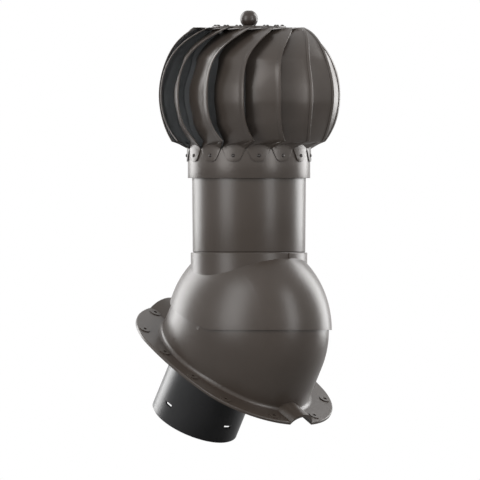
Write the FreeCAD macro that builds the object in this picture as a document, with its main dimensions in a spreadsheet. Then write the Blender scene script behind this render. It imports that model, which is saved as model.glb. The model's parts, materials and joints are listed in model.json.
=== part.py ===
import FreeCAD, Part
import math
import os
import Sketcher

# Roof turbine ventilator, in millimetres.
# The origin is the centre of the mounting flange on its underside, the roof plane.
# +X points down the slope, +Z up along the turbine's axis, which is upright at rest.
# A base part is drawn in the flange's own frame (X down the slope, Z square to the roof) and leaned
# by the roof pitch. A hood or rotor part is drawn about the turbine's axis, above the tilt axis.

sizes = {
    # how far cuts and pads run past what they meet
    "overrun": 1.0,
    "cut_reach": 200.0,
    # roof and tilt axis
    "roof_pitch": 30.8,
    "tilt_along": 0.5,            # tilt axis, down the slope from the flange centre
    "tilt_above": 52.4,           # tilt axis above the roof plane
    # mounting flange, an oval of arcs
    "flange_half_length": 140.0,
    "flange_half_width": 106.5,
    "flange_end_radius": 150.0,
    "flange_side_radius": 350.0,
    "flange_corner_radius": 98.0,
    "flange_thickness": 3.5,
    "flange_edge_round": 1.2,
    # screw holes, each position repeated in the four quarters
    "screw_hole_radius": 2.25,
    "end_hole_along": 123.0,
    "end_hole_aside": 34.0,
    "corner_hole_along": 83.5,    # the corner holes stand on a square
    "side_hole_along": 29.0,
    "side_hole_aside": 94.0,
    "boss_radius": 7.0,
    "boss_height": 1.0,
    # ridge down the slope, open at the rim, and the wider hump up the slope
    "ridge_half_width": 18.5,
    "ridge_height": 15.0,
    "hump_half_width": 33.0,
    "hump_height": 15.0,
    "ridge_wall": 3.6,            # at the crest
    "ridge_foot_wall": 0.9,       # at the feet
    # dome, an oval of four arcs turned about the tilt axis
    "crown_centre": 37.7,
    "crown_radius": 75.5,
    "pole_reach": 89.3,
    "hood_wall": 3.0,
    "seam_gap": 0.5,
    "base_wall": 3.0,
    "foot_fillet": 5.0,
    # seam between hood and base: level in front, rising at the back from a rounded corner
    "seam_corner": 19.5,          # ahead of the tilt axis
    "seam_rise": 18.8,
    "seam_corner_radius": 60.0,
    "ledge_start": 70.0,          # behind the tilt axis
    "ledge_drop": 0.8,            # of the base's ledge below the hood's rear edge
    # opening in the top of the base dome, angles from the level line down the slope
    "opening_start": 10.0,
    "opening_end": 119.0,
    "opening_half_width": 73.0,
    # tilt pivots
    "trunnion_radius": 7.0,
    "pivot_clearance": 0.05,
    "ear_thickness": 3.0,
    "ear_half_width": 14.0,
    "ear_offset": 68.5,           # inner face of an ear from the middle plane
    "ear_top": 64.0,
    # spigot pipe
    "spigot_along": -26.6,        # spigot axis, down the slope from the flange centre
    "spigot_radius": 55.0,
    "spigot_wall": 3.2,
    "spigot_reach": 92.3,         # below the roof plane
    "spigot_inside": 16.0,        # above the roof plane
    "spigot_root_step": 1.0,      # thicker where it passes the floor of the base
    "spigot_fit": 0.1,
    "spigot_collar_radius": 60.0,
    "spigot_collar_thickness": 3.0,
    "spigot_chamfer": 1.0,
    "seal_thickness": 1.5,
    "slot_length": 11.5,
    "slot_height": 3.5,
    "slot_above_rim": 21.2,
    # roof gasket, an oval ring let into the underside
    "gasket_inset": 38.0,
    "gasket_width": 8.0,
    "gasket_depth": 1.5,
    # neck socket and neck pipe
    "socket_radius": 71.3,
    "socket_top": 94.8,           # above the tilt axis
    "socket_depth": 5.2,
    "socket_round": 0.8,
    "rib_width": 2.0,
    "rib_height": 6.5,
    "rib_proud": 1.2,
    "neck_bottom_radius": 68.9,
    "neck_top_radius": 69.9,
    "neck_bore_radius": 66.9,
    "neck_length": 122.4,
    "neck_fit": 0.1,
    # bearing bracket under the neck's top edge
    "bracket_drop": 13.0,         # tab middle below the neck's top
    "bracket_sheet": 2.0,
    "bracket_arm_width": 14.0,
    "bracket_tab_height": 14.0,
    "bracket_hub_radius": 24.0,
    "bracket_rivet_head_radius": 3.2,
    "bracket_rivet_head_height": 1.2,
    # bearing housing and sealed ball bearings
    "housing_radius": 14.0,
    "housing_flange_radius": 20.0,
    "housing_flange_thickness": 3.0,
    "housing_above": 10.0,        # above the bracket
    "housing_below": 52.0,        # below the bracket
    "bearing_outer_radius": 11.0,
    "bearing_bore_radius": 4.0,
    "bearing_width": 7.0,
    "bearing_split_radius": 6.0,  # between the fixed and the turning ring
    "bearing_gap": 0.05,
    "housing_shoulder_radius": 9.6,
    "circlip_thickness": 1.0,
    "circlip_groove": 0.6,
    "circlip_bore_radius": 8.6,
    "circlip_gap": 14.0,          # opening of the split ring
    # shaft
    "shaft_shoulder_radius": 5.4,
    "lock_nut_radius": 6.9,
    "lock_nut_height": 5.0,
    "thread_past_nut": 1.5,
    # rotor collar
    "collar_radius": 74.9,
    "collar_sheet": 0.8,
    "collar_height": 35.6,
    "collar_overlap": 26.1,       # below the neck's top
    "rivet_below_collar_top": 8.0,
    # vanes
    "first_rivet_angle": 13.75,
    "vane_sheet": 0.8,
    "strip_width": 45.0,
    "equator_above_collar": 66.0,
    "steepest_chord": 80.0,       # of a strip's chord to the circle about the axis
    "profile_offset": 9.7,        # centre of the side view's arc from the axis
    "profile_radius": 101.8,
    "edge_angle": 11.5,           # free edge ahead of the rivet, at the equator
    "edge_twist_top": 29.5,
    "edge_twist_bottom": 7.3,
    "inner_angle": -12.0,         # tucked edge behind the rivet
    "blade_bottom": -64.0,        # from the equator
    "blade_corner": -56.3,
    "bend_height": 82.9,
    "bend_radius": 64.9,
    "bend_half_width": 20.6,
    "bend_lean": 5.3,
    "tab_fit": 0.05,
    "tab_half_angle": 11.4,
    "tab_tip_half_width": 8.6,
    "tab_bottom": -81.6,
    "tab_straight": 4.0,          # upright part of a bottom tab's sides
    "tab_block_start": 60.0,      # inside the collar
    "top_tab_half_width": 7.0,
    "top_tab_tip_half_width": 4.0,
    "top_tab_tip_radius": 35.5,
    "top_tab_flat_end": 46.0,
    "top_tab_flare_start": 52.0,
    # rivets of the rotor
    "rivet_head_radius": 2.2,
    "rivet_head_height": 1.8,
    # top plate and its fastening
    "plate_radius": 45.3,
    "plate_thickness": 1.5,
    "top_rivet_circle": 41.6,
    "washer_radius": 9.0,
    "washer_thickness": 1.6,
    "ball_radius": 11.5,
    "ball_centre_above": 8.6,
    "ball_flat_above": 19.0,
    "ball_bore_depth": 12.0,
    "thread_end_gap": 1.0,        # above the shaft in the ball's bore
    "stud_fit": 0.05,
}
vane_count = 15
bracket_arms = 3
tiny = 1e-6

doc = FreeCAD.newDocument("roof_turbine_ventilator")
size = doc.addObject("Spreadsheet::Sheet", "size")
for row, (alias, number) in enumerate(sizes.items(), 1):
    size.set("A%d" % row, alias)
    size.set("B%d" % row, str(number))
    size.setAlias("B%d" % row, alias)
doc.recompute()

sub_parts = []


def value(expression):
    return float(size.evalExpression(expression))


# Places that follow from the sizes, as expressions of the sheet.
tilt_x = "(size.tilt_along * cos(size.roof_pitch) + size.tilt_above * sin(size.roof_pitch))"
tilt_z = "(size.tilt_above * cos(size.roof_pitch) - size.tilt_along * sin(size.roof_pitch))"
neck_bottom = "(size.socket_top - size.socket_depth)"
neck_top = "(%s + size.neck_length)" % neck_bottom
collar_bottom = "(%s - size.collar_overlap)" % neck_top
collar_top = "(%s + size.collar_height)" % collar_bottom
rivet_height = "(%s - size.rivet_below_collar_top)" % collar_top
equator = "(%s + size.equator_above_collar)" % collar_top
plate_bottom = "(%s + size.bend_height)" % equator
tab_floor = "(%s - size.vane_sheet)" % plate_bottom
plate_top = "(%s + size.plate_thickness)" % plate_bottom
bracket_middle = "(%s - size.bracket_drop)" % neck_top
bracket_floor = "(%s - size.bracket_tab_height / 2)" % bracket_middle
housing_top = "(%s + size.housing_above)" % bracket_floor
housing_bottom = "(%s - size.housing_below)" % bracket_floor
bearing_inset = "(size.circlip_thickness + size.circlip_groove)"
upper_bearing_top = "(%s - %s)" % (housing_top, bearing_inset)
upper_bearing_bottom = "(%s - size.bearing_width)" % upper_bearing_top
lower_bearing_bottom = "(%s + %s)" % (housing_bottom, bearing_inset)
lower_bearing_top = "(%s + size.bearing_width)" % lower_bearing_bottom
shaft_bottom = "(%s - size.lock_nut_height - size.thread_past_nut)" % lower_bearing_bottom
washer_bottom = "(%s - size.washer_thickness)" % plate_bottom
shaft_shoulder_top = "(%s - size.lock_nut_height)" % washer_bottom
shaft_top = "(%s + size.ball_bore_depth - size.thread_end_gap)" % plate_top


def add_body(label, frame="turbine"):
    body = doc.addObject("PartDesign::Body", label)
    body.Label = label
    if frame == "turbine":
        body.setExpression("Placement.Base.x", tilt_x)
        body.setExpression("Placement.Base.z", tilt_z)
    else:
        lean = FreeCAD.Rotation(FreeCAD.Vector(0, 1, 0), value("size.roof_pitch"))
        body.Placement = FreeCAD.Placement(FreeCAD.Vector(), lean)
        body.setExpression("Placement.Rotation.Angle", "size.roof_pitch")
    if frame == "spigot":
        body.setExpression("Placement.Base.x", "size.spigot_along * cos(size.roof_pitch)")
        body.setExpression("Placement.Base.z", "-size.spigot_along * sin(size.roof_pitch)")
    sub_parts.append(body)
    return body


def origin_feature(body, role):
    return next(feature for feature in body.Origin.OriginFeatures if feature.Role == role)


def add_sketch(body, name, role, rise=None, along=None):
    sketch = body.newObject("Sketcher::SketchObject", name)
    sketch.AttachmentSupport = (origin_feature(body, role), "")
    sketch.MapMode = "FlatFace"
    if rise is not None:
        sketch.setExpression("AttachmentOffset.Base.z", rise)
    if along is not None:
        sketch.setExpression("AttachmentOffset.Base.x", along)
    return sketch


def hold_point(sketch, geometry, end, x, y):
    """Hold a point of the sketch at two expressions."""
    for kind, axis, expression in (("DistanceX", -2, x), ("DistanceY", -1, y)):
        number = value(expression)
        if abs(number) < tiny:
            sketch.addConstraint(Sketcher.Constraint("PointOnObject", geometry, end, axis))
        else:
            index = sketch.addConstraint(Sketcher.Constraint(kind, -1, 1, geometry, end, number))
            sketch.setExpression("Constraints[%d]" % index, expression)


def hold_radius(sketch, geometry, expression):
    index = sketch.addConstraint(Sketcher.Constraint("Radius", geometry, value(expression)))
    sketch.setExpression("Constraints[%d]" % index, expression)


def draw_polygon(sketch, corners):
    """A closed outline of straight lines through corners, each a pair of expressions."""
    points = [FreeCAD.Vector(value(x), value(y), 0) for x, y in corners]
    first = sketch.GeometryCount
    count = len(points)
    for i in range(count):
        sketch.addGeometry(Part.LineSegment(points[i], points[(i + 1) % count]))
    for i in range(count):
        following = first + (i + 1) % count
        sketch.addConstraint(Sketcher.Constraint("Coincident", first + i, 2, following, 1))
    for i, (x, y) in enumerate(corners):
        hold_point(sketch, first + i, 1, x, y)


def draw_circle(sketch, x, y, radius):
    centre = FreeCAD.Vector(value(x), value(y), 0)
    circle = sketch.addGeometry(Part.Circle(centre, FreeCAD.Vector(0, 0, 1), value(radius)))
    hold_point(sketch, circle, 3, x, y)
    hold_radius(sketch, circle, radius)


def pad(body, sketch, length, midplane=False, reverse=False):
    feature = body.newObject("PartDesign::Pad", sketch.Name + "_pad")
    feature.Profile = sketch
    feature.setExpression("Length", length)
    feature.Midplane = midplane
    feature.Reversed = reverse
    return feature


def pocket(body, sketch, length=None, midplane=False, reverse=False):
    feature = body.newObject("PartDesign::Pocket", sketch.Name + "_pocket")
    feature.Profile = sketch
    if length is None:
        feature.Type = "ThroughAll"
    else:
        feature.setExpression("Length", length)
    feature.Midplane = midplane
    feature.Reversed = reverse
    return feature


def turn(body, sketch, kind="Revolution", angle=None, reverse=False):
    """Turn a sketch about its own vertical axis."""
    feature = body.newObject("PartDesign::" + kind, sketch.Name + "_turned")
    feature.Profile = sketch
    feature.ReferenceAxis = (sketch, ["V_Axis"])
    feature.Reversed = reverse
    if angle is None:
        feature.Angle = 360
    else:
        feature.setExpression("Angle", angle)
    return feature


def repeat_round(body, features, count):
    feature = body.newObject("PartDesign::PolarPattern", features[0].Name + "_round")
    feature.Originals = features
    feature.Axis = (origin_feature(body, "Z_Axis"), [""])
    feature.Angle = 360
    feature.Occurrences = count
    body.Tip = feature
    return feature


def round_rim(body, name, radius, level, outer=True):
    """Round the largest flat face at a level along its outer rim, or along the foot of what stands on it."""
    doc.recompute()
    base = body.Tip
    height = value(level)
    flats = [face for face in base.Shape.Faces
             if abs(face.BoundBox.ZMin - height) < tiny and abs(face.BoundBox.ZMax - height) < tiny]
    flat = max(flats, key=lambda face: face.Area)
    rims = [wire for wire in flat.Wires if wire.isSame(flat.OuterWire) == outer]
    edges = [edge for wire in rims for edge in wire.Edges]
    names = ["Edge%d" % number for number, edge in enumerate(base.Shape.Edges, 1)
             if any(edge.isSame(other) for other in edges)]
    feature = body.newObject("PartDesign::Fillet", name)
    feature.Base = (base, names)
    feature.setExpression("Radius", radius)
    doc.recompute()


def turned_body(label, corners, frame="turbine"):
    """A body turned about Z from one outline of radius and height pairs."""
    body = add_body(label, frame)
    sketch = add_sketch(body, label + "_outline", "XZ_Plane")
    draw_polygon(sketch, corners)
    turn(body, sketch)
    return body


# Outlines of the dome and the flange. The dome's side arcs pass the poles and touch the crown arcs.

side_radius = ("((size.crown_centre^2 + size.pole_reach^2 - size.crown_radius^2)"
               " / (2 * (size.pole_reach - size.crown_radius)))")

def draw_dome(sketch, inset, whole):
    """The dome's oval: half of it to turn about the tilt axis, or the whole plan for the wall."""
    centre = value("size.crown_centre")
    crown = value("size.crown_radius - (%s)" % inset)
    side = value("%s - (%s)" % (side_radius, inset))
    side_centre = value("%s - size.pole_reach" % side_radius)
    meeting = math.atan2(side_centre, centre)
    far = math.pi - meeting if whole else math.pi / 2
    z = FreeCAD.Vector(0, 0, 1)

    def arc(x, y, radius, start, end):
        circle = Part.Circle(FreeCAD.Vector(x, y, 0), z, radius)
        return sketch.addGeometry(Part.ArcOfCircle(circle, start, end))

    front = arc(centre, 0, crown, -meeting, meeting)
    right = arc(0, -side_centre, side, meeting, far)
    left = arc(0, side_centre, side, -far, -meeting)
    joins = [(front, right), (left, front)]
    crowns = [(front, "")]
    if whole:
        back = arc(-centre, 0, crown, math.pi - meeting, math.pi + meeting)
        joins += [(right, back), (back, left)]
        crowns.append((back, "-"))
    for first, second in joins:
        sketch.addConstraint(Sketcher.Constraint("Tangent", first, 2, second, 1))
    for index, sign in crowns:
        hold_point(sketch, index, 3, sign + "size.crown_centre", "0")
        hold_radius(sketch, index, "size.crown_radius - (%s)" % inset)
    for index in (right, left):
        hold_radius(sketch, index, "%s - (%s)" % (side_radius, inset))
    if not whole:
        for index in (right, left):
            sketch.addConstraint(Sketcher.Constraint("PointOnObject", index, 3, -2))
        reach = side - side_centre
        ends = FreeCAD.Vector(0, reach, 0), FreeCAD.Vector(0, -reach, 0)
        closing = sketch.addGeometry(Part.LineSegment(*ends))
        sketch.addConstraint(Sketcher.Constraint("Coincident", right, 2, closing, 1))
        sketch.addConstraint(Sketcher.Constraint("Coincident", closing, 2, left, 1))
        sketch.addConstraint(Sketcher.Constraint("PointOnObject", right, 2, -2))
        sketch.addConstraint(Sketcher.Constraint("PointOnObject", left, 1, -2))


def draw_oval(sketch, half_length, half_width, inset="0"):
    """The flange's outline: end, side and corner arcs, each tangent to the next."""
    end = value("size.flange_end_radius - (%s)" % inset)
    side = value("size.flange_side_radius - (%s)" % inset)
    corner = value("size.flange_corner_radius - (%s)" % inset)
    end_x = value("%s - size.flange_end_radius" % half_length)
    side_y = value("%s - size.flange_side_radius" % half_width)
    # The corner arc's centre is where two circles about the other centres cross.
    reach_end, reach_side = end - corner, side - corner
    apart = math.hypot(end_x, side_y)
    toward = (reach_end ** 2 - reach_side ** 2 + apart ** 2) / (2 * apart)
    off = math.sqrt(reach_end ** 2 - toward ** 2)
    ux, uy = -end_x / apart, side_y / apart
    corner_x = end_x + ux * toward - uy * off
    corner_y = uy * toward + ux * off
    if corner_x < 0 or corner_y < 0:
        corner_x = end_x + ux * toward + uy * off
        corner_y = uy * toward - ux * off
    end_angle = math.atan2(corner_y, corner_x - end_x)
    side_angle = math.atan2(corner_y - side_y, corner_x)
    half_turn = math.pi
    spans = [
        (end_x, 0, end, -end_angle, end_angle),
        (corner_x, corner_y, corner, end_angle, side_angle),
        (0, side_y, side, side_angle, half_turn - side_angle),
        (-corner_x, corner_y, corner, half_turn - side_angle, half_turn - end_angle),
        (-end_x, 0, end, half_turn - end_angle, half_turn + end_angle),
        (-corner_x, -corner_y, corner, half_turn + end_angle, half_turn + side_angle),
        (0, -side_y, side, half_turn + side_angle, 2 * half_turn - side_angle),
        (corner_x, -corner_y, corner, -side_angle, -end_angle),
    ]
    first = sketch.GeometryCount
    for x, y, radius, start, stop in spans:
        circle = Part.Circle(FreeCAD.Vector(x, y, 0), FreeCAD.Vector(0, 0, 1), radius)
        sketch.addGeometry(Part.ArcOfCircle(circle, start, stop))
    for i in range(8):
        following = first + (i + 1) % 8
        sketch.addConstraint(Sketcher.Constraint("Tangent", first + i, 2, following, 1))
    hold_point(sketch, first, 3, "%s - size.flange_end_radius" % half_length, "0")
    hold_point(sketch, first + 4, 3, "size.flange_end_radius - %s" % half_length, "0")
    hold_point(sketch, first + 2, 3, "0", "%s - size.flange_side_radius" % half_width)
    hold_point(sketch, first + 6, 3, "0", "size.flange_side_radius - %s" % half_width)
    for offset, alias in ((0, "end"), (1, "corner"), (2, "side")):
        hold_radius(sketch, first + offset, "size.flange_%s_radius - (%s)" % (alias, inset))
    for held, follower in ((0, 4), (2, 6), (1, 3), (1, 5), (1, 7)):
        sketch.addConstraint(Sketcher.Constraint("Equal", first + held, first + follower))


def draw_segment(sketch, half_width, height):
    """A low arch on a straight foot: the cross-section of a ridge, or of its hollow."""
    half, rise = value(half_width), value(height)
    radius = (half ** 2 + rise ** 2) / (2 * rise)
    low = rise - radius
    start = math.atan2(-low, half)
    circle = Part.Circle(FreeCAD.Vector(0, low, 0), FreeCAD.Vector(0, 0, 1), radius)
    arch = sketch.addGeometry(Part.ArcOfCircle(circle, start, math.pi - start))
    floor = sketch.addGeometry(Part.LineSegment(FreeCAD.Vector(-half, 0, 0), FreeCAD.Vector(half, 0, 0)))
    sketch.addConstraint(Sketcher.Constraint("Coincident", arch, 2, floor, 1))
    sketch.addConstraint(Sketcher.Constraint("Coincident", floor, 2, arch, 1))
    arch_radius = "((%s)^2 + (%s)^2) / (2 * (%s))" % (half_width, height, height)
    hold_point(sketch, arch, 3, "0", "%s - %s" % (height, arch_radius))
    hold_radius(sketch, arch, arch_radius)
    sketch.addConstraint(Sketcher.Constraint("PointOnObject", arch, 1, -1))
    sketch.addConstraint(Sketcher.Constraint("PointOnObject", arch, 2, -1))


# Base: flange, dome with its floor, ridge and hump, gasket, spigot pipe and seal.

base_inset = "(size.hood_wall + size.seam_gap)"
hollow_inset = "(size.hood_wall + size.seam_gap + size.base_wall)"
spigot_root = "(size.spigot_radius + size.spigot_root_step)"
spigot_collar_bottom = "(size.flange_thickness + size.seal_thickness)"
spigot_collar_top = "(%s + size.spigot_collar_thickness)" % spigot_collar_bottom
hole_places = [
    ("size.end_hole_along", "size.end_hole_aside"),
    ("size.corner_hole_along", "size.corner_hole_along"),
    ("size.side_hole_along", "size.side_hole_aside"),
]


def draw_hole_circles(sketch, radius):
    for along, aside in hole_places:
        for along_sign in ("", "-"):
            for aside_sign in ("", "-"):
                draw_circle(sketch, along_sign + along, aside_sign + aside, radius)


wall_front = "(size.tilt_along + size.crown_centre + size.crown_radius - %s)" % base_inset
wall_back = "(size.tilt_along - size.crown_centre - size.crown_radius + %s)" % base_inset


def ledge_height(x):
    """The height of the ledge, which runs along under the hood's rear edge."""
    back = "(size.tilt_along + size.seam_corner * cos(size.roof_pitch) - (%s))" % x
    corner = "size.tilt_above + size.seam_corner * sin(size.roof_pitch)"
    return "%s - size.ledge_drop - %s * tan(size.roof_pitch - size.seam_rise)" % (corner, back)


def cut_tunnel(body, name, half_width, height, start, end):
    """The hollow of a ridge, from the dome's wall outward."""
    sketch = add_sketch(body, name, "YZ_Plane", start)
    draw_segment(sketch, "%s - size.ridge_foot_wall" % half_width, "%s - size.ridge_wall" % height)
    length = value("%s - %s" % (end, start))
    pocket(body, sketch, "abs(%s - %s)" % (end, start), reverse=length > 0)


def make_base_shell():
    body = add_body("base_shell", "flange")
    plate = add_sketch(body, "flange", "XY_Plane")
    draw_oval(plate, "size.flange_half_length", "size.flange_half_width")
    pad(body, plate, "size.flange_thickness")
    # The wall runs straight down from the dome, square to the roof, into a filleted foot.
    wall = add_sketch(body, "wall", "XY_Plane", along="size.tilt_along")
    draw_dome(wall, base_inset, True)
    pad(body, wall, "size.tilt_above")
    round_rim(body, "foot_round", "size.foot_fillet", "size.flange_thickness", outer=False)
    round_rim(body, "flange_round", "size.flange_edge_round", "size.flange_thickness")
    # The ridge and the hump run past the rim and are trimmed by its oval.
    past_rim = "size.flange_half_length + size.overrun"
    ridge = add_sketch(body, "ridge", "YZ_Plane")
    draw_segment(ridge, "size.ridge_half_width", "size.ridge_height")
    pad(body, ridge, past_rim)
    hump = add_sketch(body, "hump", "YZ_Plane")
    draw_segment(hump, "size.hump_half_width", "size.hump_height")
    pad(body, hump, past_rim, reverse=True)
    trim = add_sketch(body, "trim", "XY_Plane")
    draw_oval(trim, "size.flange_half_length", "size.flange_half_width")
    far = "size.cut_reach"
    draw_polygon(trim, [(far, far), ("-" + far, far), ("-" + far, "-" + far), (far, "-" + far)])
    pocket(body, trim, reverse=True)
    # The wall's back is cut down to a ledge under the hood's rear edge, and the dome reaches down to it.
    ledge = add_sketch(body, "ledge", "XZ_Plane")
    above = "size.tilt_above + size.overrun"
    start = "(size.tilt_along - size.ledge_start)"
    corners = [(x, ledge_height(x)) for x in (start, "-size.cut_reach")]
    draw_polygon(ledge, corners + [("-size.cut_reach", above), (start, above)])
    pocket(body, ledge, "2 * size.cut_reach", midplane=True)
    dome = add_sketch(body, "dome", "XY_Plane", "size.tilt_above", "size.tilt_along")
    draw_dome(dome, base_inset, False)
    turn(body, dome, angle="180 + size.roof_pitch - size.seam_rise", reverse=True)
    hollow = add_sketch(body, "hollow", "XY_Plane", "size.tilt_above", "size.tilt_along")
    draw_dome(hollow, hollow_inset, False)
    turn(body, hollow, "Groove", angle="180", reverse=True)
    room = add_sketch(body, "room", "XY_Plane", "size.flange_thickness", "size.tilt_along")
    draw_dome(room, hollow_inset, True)
    pocket(body, room, "size.tilt_above - size.flange_thickness", reverse=True)
    # The mouth under the hood, a sector about the tilt axis.
    mouth = add_sketch(body, "mouth", "XZ_Plane")
    middle = "(size.opening_start + size.opening_end) / 2"
    spread = [("size.opening_start", far), (middle, "2 * " + far), ("size.opening_end", far)]
    corners = [("size.tilt_along", "size.tilt_above")]
    for angle, reach in spread:
        corners.append(("size.tilt_along + %s * cos(%s + size.roof_pitch)" % (reach, angle),
                        "size.tilt_above + %s * sin(%s + size.roof_pitch)" % (reach, angle)))
    draw_polygon(mouth, corners)
    pocket(body, mouth, "2 * size.opening_half_width", midplane=True)
    bore = add_sketch(body, "bore", "XY_Plane", "-size.overrun")
    draw_circle(bore, "size.spigot_along", "0", "%s + size.spigot_fit" % spigot_root)
    pocket(body, bore, "size.flange_thickness + 2 * size.overrun", reverse=True)
    # Trunnions point inward from the poles: a bar right across, less its middle.
    bar = add_sketch(body, "trunnions", "XZ_Plane")
    draw_circle(bar, "size.tilt_along", "size.tilt_above", "size.trunnion_radius")
    pad(body, bar, "2 * (size.pole_reach - %s + size.overrun)" % hollow_inset, midplane=True)
    gap = add_sketch(body, "trunnion_gap", "XZ_Plane")
    draw_circle(gap, "size.tilt_along", "size.tilt_above", "size.trunnion_radius + size.overrun")
    pocket(body, gap, "2 * size.ear_offset", midplane=True)
    bosses = add_sketch(body, "bosses", "XY_Plane", "size.flange_thickness")
    draw_hole_circles(bosses, "size.boss_radius")
    pad(body, bosses, "size.boss_height")
    holes = add_sketch(body, "holes", "XY_Plane", "-size.overrun")
    draw_hole_circles(holes, "size.screw_hole_radius")
    pocket(body, holes, "size.flange_thickness + size.boss_height + 2 * size.overrun", reverse=True)
    cut_tunnel(body, "ridge_hollow", "size.ridge_half_width", "size.ridge_height",
               wall_front, "(size.flange_half_length + size.overrun)")
    cut_tunnel(body, "hump_hollow", "size.hump_half_width", "size.hump_height",
               wall_back, "(size.ridge_wall - size.flange_half_length)")
    groove = add_sketch(body, "gasket_groove", "XY_Plane")
    draw_gasket(groove)
    pocket(body, groove, "size.gasket_depth", reverse=True)


def draw_gasket(sketch):
    for inset in ("size.gasket_inset", "size.gasket_inset + size.gasket_width"):
        draw_oval(sketch, "size.flange_half_length", "size.flange_half_width", inset)


def make_gasket():
    body = add_body("base_gasket", "flange")
    ring = add_sketch(body, "gasket_ring", "XY_Plane")
    draw_gasket(ring)
    pad(body, ring, "size.gasket_depth")


def make_spigot():
    inner = "size.spigot_radius - size.spigot_wall"
    body = turned_body("spigot_pipe", [
        (inner, "-size.spigot_reach"),
        ("size.spigot_radius - size.spigot_chamfer", "-size.spigot_reach"),
        ("size.spigot_radius", "size.spigot_chamfer - size.spigot_reach"),
        ("size.spigot_radius", "0"),
        (spigot_root, "0"),
        (spigot_root, spigot_collar_bottom),
        ("size.spigot_collar_radius", spigot_collar_bottom),
        ("size.spigot_collar_radius", spigot_collar_top),
        ("size.spigot_radius", spigot_collar_top),
        ("size.spigot_radius", "size.spigot_inside"),
        (inner, "size.spigot_inside"),
    ], "spigot")
    # Four slots for a hose clamp's hooks, a quarter turn apart.
    for number, role in enumerate(("XZ_Plane", "YZ_Plane"), 1):
        slot = add_sketch(body, "slot_%d" % number, role)
        low = "size.slot_above_rim - size.spigot_reach"
        high = "size.slot_above_rim + size.slot_height - size.spigot_reach"
        half = "size.slot_length / 2"
        draw_polygon(slot, [("-" + half, low), (half, low), (half, high), ("-" + half, high)])
        pocket(body, slot, "2 * (size.spigot_radius + size.overrun)", midplane=True)
    turned_body("spigot_seal", [
        (spigot_root, "size.flange_thickness"),
        ("size.spigot_collar_radius", "size.flange_thickness"),
        ("size.spigot_collar_radius", spigot_collar_bottom),
        (spigot_root, spigot_collar_bottom),
    ], "spigot")


# Hood: shell with the neck socket and the pivot ears, neck pipe, bearing bracket and bearings.

def make_hood_shell():
    body = add_body("hood_shell")
    dome = add_sketch(body, "crown", "XY_Plane")
    draw_dome(dome, "0", False)
    turn(body, dome, angle="180", reverse=True)
    seam = add_sketch(body, "seam", "XZ_Plane")
    draw_seam(seam)
    pocket(body, seam, "2 * size.cut_reach", midplane=True)
    socket = add_sketch(body, "socket", "XY_Plane", "size.ear_half_width")
    draw_circle(socket, "0", "0", "size.socket_radius")
    pad(body, socket, "size.socket_top - size.ear_half_width")
    round_rim(body, "socket_round", "size.socket_round", "size.socket_top")
    rib = add_sketch(body, "rib", "XY_Plane", "size.socket_top - size.socket_round - size.rib_height")
    front = "size.socket_radius + size.rib_proud"
    half = "size.rib_width / 2"
    back = "size.socket_radius - size.rib_proud"
    draw_polygon(rib, [(back, "-" + half), (front, "-" + half), (front, half), (back, half)])
    pad(body, rib, "size.rib_height")
    hollow = add_sketch(body, "hood_hollow", "XY_Plane")
    draw_dome(hollow, "size.hood_wall", False)
    turn(body, hollow, "Groove")
    # The crown of the dome stands higher than the socket's rim, inside it, so both cuts start above it.
    crown_top = "(size.crown_centre + size.crown_radius + size.overrun)"
    seat = add_sketch(body, "neck_seat", "XY_Plane", crown_top)
    draw_circle(seat, "0", "0", "size.neck_bottom_radius + size.neck_fit")
    pocket(body, seat, "%s - %s" % (crown_top, neck_bottom))
    duct = add_sketch(body, "duct", "XY_Plane", crown_top)
    draw_circle(duct, "0", "0", "size.neck_bore_radius")
    pocket(body, duct, crown_top)
    for name, sign in (("left_ear", "-"), ("right_ear", "")):
        ear = add_sketch(body, name, "XZ_Plane", sign + "(size.ear_offset + size.ear_thickness / 2)")
        draw_ear(ear)
        pad(body, ear, "size.ear_thickness", midplane=True)
    pivot = add_sketch(body, "pivot_holes", "XZ_Plane")
    draw_circle(pivot, "0", "0", "size.trunnion_radius + size.pivot_clearance")
    pocket(body, pivot, "2 * (size.ear_offset + size.ear_thickness + size.overrun)", midplane=True)


def draw_seam(sketch):
    """What the seam leaves open at the back of the dome, from its rounded corner."""
    radius, rise = value("size.seam_corner_radius"), math.radians(value("size.seam_rise"))
    touch = "(size.seam_corner + size.seam_corner_radius * tan(size.seam_rise / 2))"
    back = "-size.cut_reach"
    back_height = "(size.seam_corner + size.cut_reach) * tan(size.seam_rise)"
    down = -math.pi / 2
    circle = Part.Circle(FreeCAD.Vector(value(touch), radius, 0), FreeCAD.Vector(0, 0, 1), radius)
    corner = sketch.addGeometry(Part.ArcOfCircle(circle, down - rise, down))
    turned = FreeCAD.Vector(value(touch) - radius * math.sin(rise), radius * (1 - math.cos(rise)), 0)
    path = [FreeCAD.Vector(value(touch), 0, 0), FreeCAD.Vector(value(touch), value("-size.overrun"), 0),
            FreeCAD.Vector(value(back), value("-size.overrun"), 0),
            FreeCAD.Vector(value(back), value(back_height), 0), turned]
    front, below, behind, above = [
        sketch.addGeometry(Part.LineSegment(first, second)) for first, second in zip(path, path[1:])]
    for first, second in ((corner, front), (front, below), (below, behind), (behind, above)):
        sketch.addConstraint(Sketcher.Constraint("Coincident", first, 2, second, 1))
    sketch.addConstraint(Sketcher.Constraint("Tangent", above, 2, corner, 1))
    sketch.addConstraint(Sketcher.Constraint("Vertical", front))
    hold_point(sketch, corner, 3, touch, "size.seam_corner_radius")
    hold_radius(sketch, corner, "size.seam_corner_radius")
    hold_point(sketch, below, 1, touch, "-size.overrun")
    hold_point(sketch, behind, 1, back, "-size.overrun")
    hold_point(sketch, behind, 2, back, back_height)


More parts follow.
